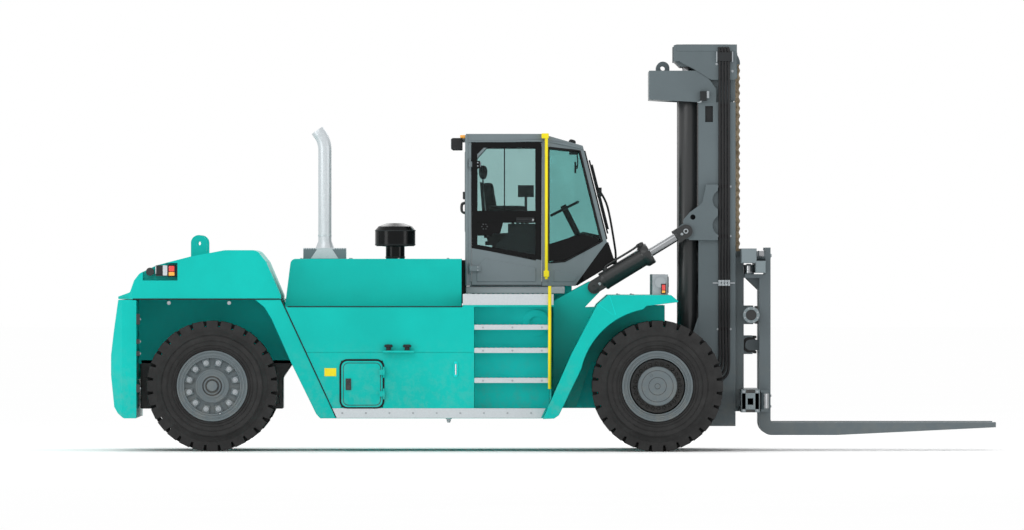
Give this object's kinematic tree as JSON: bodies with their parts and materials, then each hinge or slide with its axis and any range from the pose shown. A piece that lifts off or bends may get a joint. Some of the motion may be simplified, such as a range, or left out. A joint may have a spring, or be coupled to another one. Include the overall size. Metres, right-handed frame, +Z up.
{
  "type": "heavy-duty forklift truck",
  "caption": "Long heavy-duty counterbalance forklift with twin front wheels, steered rear wheels, a closed cab and a two-stage mast that tilts and lifts a pair of long forks.",
  "frame": {"origin": "on the floor, at the middle of the truck's length and width", "axes": "+X forward along the forks, +Y to the driver's left, +Z up"},
  "size_m": [9.96, 3.33, 4.583],
  "materials": {
    "body_paint": "semi-gloss",
    "mast_paint": "semi-gloss",
    "cab_paint": "semi-gloss",
    "black_paint": "satin",
    "yellow_paint": "semi-gloss",
    "step_metal": "satin",
    "rod_chrome": "polished",
    "fork_steel": "satin",
    "chain_steel": "oiled",
    "tyre_rubber": "matte",
    "rim_paint": "semi-gloss",
    "window_glass": "clear",
    "seat_cloth": "matte",
    "cab_plastic": "matte",
    "hose_rubber": "matte",
    "lamp": "glossy",
    "engine_iron": "matte"
  },
  "bodies": {
    "chassis": {"frame": "black_paint", "counterweight": "body_paint", "rear_housing": "body_paint", "rear_cover": "body_paint", "rear_lamps": "lamp", "lifting_lugs": "body_paint", "rear_mudguards": "body_paint", "side_body_left": "body_paint", "side_body_right": "body_paint", "hood": "body_paint", "engine": "engine_iron", "exhaust": "step_metal", "air_cleaner": "black_paint", "tilt_arms": "body_paint", "front_mudguards": "body_paint", "front_lamps": "lamp", "steps": "step_metal", "handrails": "yellow_paint", "drive_axle": "black_paint", "steer_axle": "black_paint", "cab_floor": "cab_paint", "cab_rear_wall": "cab_paint", "cab_frame": "cab_paint", "cab_roof": "cab_paint", "cab_glass": "window_glass", "seat": "seat_cloth", "dashboard": "cab_plastic"},
    "door_left": {"door_left": "cab_paint", "door_glass_left": "window_glass"},
    "door_right": {"door_right": "cab_paint", "door_glass_right": "window_glass"},
    "hatch": {"hatch": "body_paint"},
    "knuckle_left": {"knuckle_left": "black_paint"},
    "knuckle_right": {"knuckle_right": "black_paint"},
    "rear_wheel_left": {"rear_tyre_left": "tyre_rubber", "rear_rim_left": "rim_paint"},
    "rear_wheel_right": {"rear_tyre_right": "tyre_rubber", "rear_rim_right": "rim_paint"},
    "front_wheels_left": {"front_tyres_left": "tyre_rubber", "front_rims_left": "rim_paint"},
    "front_wheels_right": {"front_tyres_right": "tyre_rubber", "front_rims_right": "rim_paint"},
    "outer_mast": {"outer_uprights": "mast_paint", "outer_crossbeams": "mast_paint", "mast_eyes": "mast_paint", "lift_cylinders": "black_paint", "mast_hoses": "hose_rubber", "chain_rear": "chain_steel"},
    "inner_mast": {"inner_uprights": "mast_paint", "crosshead": "mast_paint", "lift_rods": "rod_chrome", "chain_front": "chain_steel"},
    "carriage": {"carriage_frame": "mast_paint", "positioner_cylinders": "black_paint"},
    "fork_left": {"fork_left": "fork_steel"},
    "fork_right": {"fork_right": "fork_steel"},
    "tilt_barrel_left": {"tilt_barrel_left": "black_paint"},
    "tilt_barrel_right": {"tilt_barrel_right": "black_paint"},
    "tilt_rod_left": {"tilt_rod_left": "rod_chrome"},
    "tilt_rod_right": {"tilt_rod_right": "rod_chrome"}
  },
  "joints": [
    {"name": "front_wheels_left_spin", "type": "hinge", "parent": "chassis", "child": "front_wheels_left", "pos_m": [1.157, 1.205, 0.7344], "axis": [0, 1, 0], "continuous": true},
    {"name": "steer_left", "type": "hinge", "parent": "chassis", "child": "knuckle_left", "pos_m": [-3.843, 0.96, 0.7344], "axis": [0, 0, 1], "range_deg": [-55, 55]},
    {"name": "rear_wheel_left_spin", "type": "hinge", "parent": "knuckle_left", "child": "rear_wheel_left", "pos_m": [-3.843, 1.11, 0.7344], "axis": [0, 1, 0], "continuous": true},
    {"name": "door_left_swing", "type": "hinge", "parent": "chassis", "child": "door_left", "pos_m": [-0.945, 0.781, 2.6], "axis": [0, 0, 1], "range_deg": [0, 90]},
    {"name": "fork_left_slide", "type": "slide", "parent": "carriage", "child": "fork_left", "axis": [0, 1, 0], "range_m": [-0.43, 0.4]},
    {"name": "tilt_barrel_left_pin", "type": "hinge", "parent": "chassis", "child": "tilt_barrel_left", "pos_m": [0.453, 0.71, 1.845], "axis": [0, 1, 0], "range_deg": [-7.88, 4.19]},
    {"name": "tilt_rod_left_slide", "type": "slide", "parent": "tilt_barrel_left", "child": "tilt_rod_left", "axis": [0.8535, 0, 0.521], "range_m": [-0.254, 0.128]},
    {"name": "front_wheels_right_spin", "type": "hinge", "parent": "chassis", "child": "front_wheels_right", "pos_m": [1.157, -1.205, 0.7344], "axis": [0, 1, 0], "continuous": true},
    {"name": "steer_right", "type": "hinge", "parent": "chassis", "child": "knuckle_right", "pos_m": [-3.843, -0.96, 0.7344], "axis": [0, 0, 1], "range_deg": [-55, 55]},
    {"name": "rear_wheel_right_spin", "type": "hinge", "parent": "knuckle_right", "child": "rear_wheel_right", "pos_m": [-3.843, -1.11, 0.7344], "axis": [0, 1, 0], "continuous": true},
    {"name": "door_right_swing", "type": "hinge", "parent": "chassis", "child": "door_right", "pos_m": [-0.945, -0.781, 2.6], "axis": [0, 0, -1], "range_deg": [0, 90]},
    {"name": "fork_right_slide", "type": "slide", "parent": "carriage", "child": "fork_right", "axis": [0, -1, 0], "range_m": [-0.43, 0.4]},
    {"name": "tilt_barrel_right_pin", "type": "hinge", "parent": "chassis", "child": "tilt_barrel_right", "pos_m": [0.453, -0.71, 1.845], "axis": [0, 1, 0], "range_deg": [-7.88, 4.19]},
    {"name": "tilt_rod_right_slide", "type": "slide", "parent": "tilt_barrel_right", "child": "tilt_rod_right", "axis": [0.8535, 0, 0.521], "range_m": [-0.254, 0.128]},
    {"name": "hatch_swing", "type": "hinge", "parent": "chassis", "child": "hatch", "pos_m": [-1.914, -1.427, 0.757], "axis": [0, 0, 1], "range_deg": [0, 100]},
    {"name": "mast_tilt", "type": "hinge", "parent": "chassis", "child": "outer_mast", "pos_m": [1.5, 0, 0.8], "axis": [0, 1, 0], "range_deg": [-10, 5]},
    {"name": "mast_lift", "type": "slide", "parent": "outer_mast", "child": "inner_mast", "axis": [0, 0, 1], "range_m": [0, 1.95], "deforming": ["chain_rear"]},
    {"name": "carriage_lift", "type": "slide", "parent": "inner_mast", "child": "carriage", "axis": [0, 0, 1], "range_m": [0, 1.95], "deforming": ["chain_front"]}
  ],
  "couplings": [
    {"joint": "carriage_lift", "follows": "mast_lift", "ratio": 1},
    {"joint": "steer_right", "follows": "steer_left", "ratio": 1},
    {"joint": "tilt_barrel_left_pin", "follows": "mast_tilt", "ratio": 0.738},
    {"joint": "tilt_rod_left_slide", "follows": "mast_tilt", "m_per_rad": 1.4439},
    {"joint": "tilt_barrel_right_pin", "follows": "mast_tilt", "ratio": 0.738},
    {"joint": "tilt_rod_right_slide", "follows": "mast_tilt", "m_per_rad": 1.4439}
  ]
}
